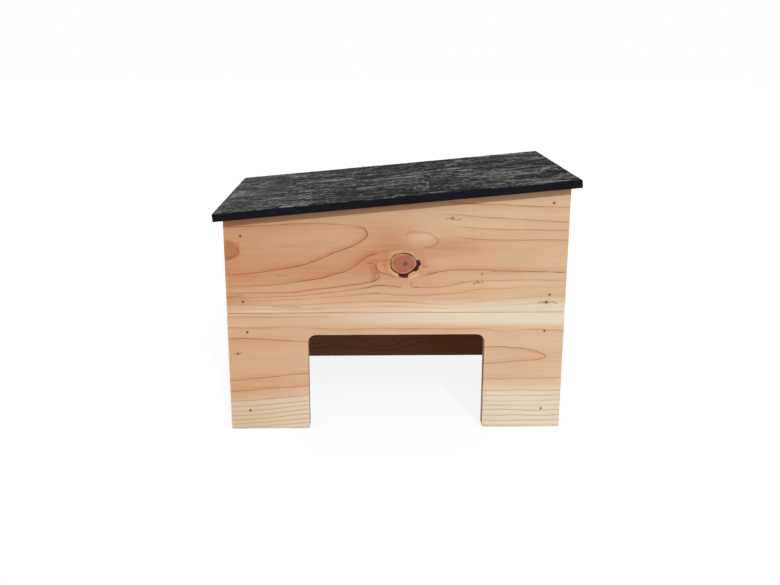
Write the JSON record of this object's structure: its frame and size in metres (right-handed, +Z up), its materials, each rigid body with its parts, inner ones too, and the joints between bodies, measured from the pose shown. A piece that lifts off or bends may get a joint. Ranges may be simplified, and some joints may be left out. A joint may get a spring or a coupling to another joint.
{
  "type": "tortoise house",
  "caption": "Timber tortoise house: a box with no floor, a wide low entrance in front and a black roof that slopes sideways and lifts on hinges at the back.",
  "frame": {"origin": "on the ground, under the middle of the outline's box", "axes": "+X to the right as seen from the entrance side, +Y towards the back, +Z up"},
  "size_m": [0.527, 0.3763, 0.3822],
  "materials": {
    "heartwood": "planed Douglas fir, oiled, satin",
    "sapwood": "planed Douglas fir with pale sapwood, satin",
    "post_wood": "sawn and planed softwood, matt",
    "black_roof": "strand board painted black, satin",
    "zinc_steel": "zinc plated",
    "nail_steel": "bright steel, dulled"
  },
  "bodies": {
    "house": {"front_upper_board": "heartwood", "back_upper_board": "heartwood", "left_upper_board": "heartwood", "right_upper_board": "heartwood", "front_lower_board": "sapwood", "back_lower_board": "sapwood", "left_lower_board": "sapwood", "right_lower_board": "sapwood", "front_left_post": "post_wood", "front_right_post": "post_wood", "back_left_post": "post_wood", "back_right_post": "post_wood", "front_nails": "nail_steel", "back_nails": "nail_steel", "left_nails": "nail_steel", "right_nails": "nail_steel", "left_hinge_wall_leaf": "zinc_steel", "right_hinge_wall_leaf": "zinc_steel", "left_hinge_pin": "zinc_steel", "right_hinge_pin": "zinc_steel", "wall_hinge_screws": "zinc_steel"},
    "roof": {"roof_panel": "black_roof", "left_hinge_roof_leaf": "zinc_steel", "right_hinge_roof_leaf": "zinc_steel", "roof_hinge_screws": "zinc_steel"}
  },
  "joints": [
    {"name": "roof_hinge", "type": "hinge", "parent": "house", "child": "roof", "pos_m": [0.00015, 0.18515, 0.34441], "axis": [-0.9958, 0, -0.0916], "range_deg": [0, 205]}
  ]
}
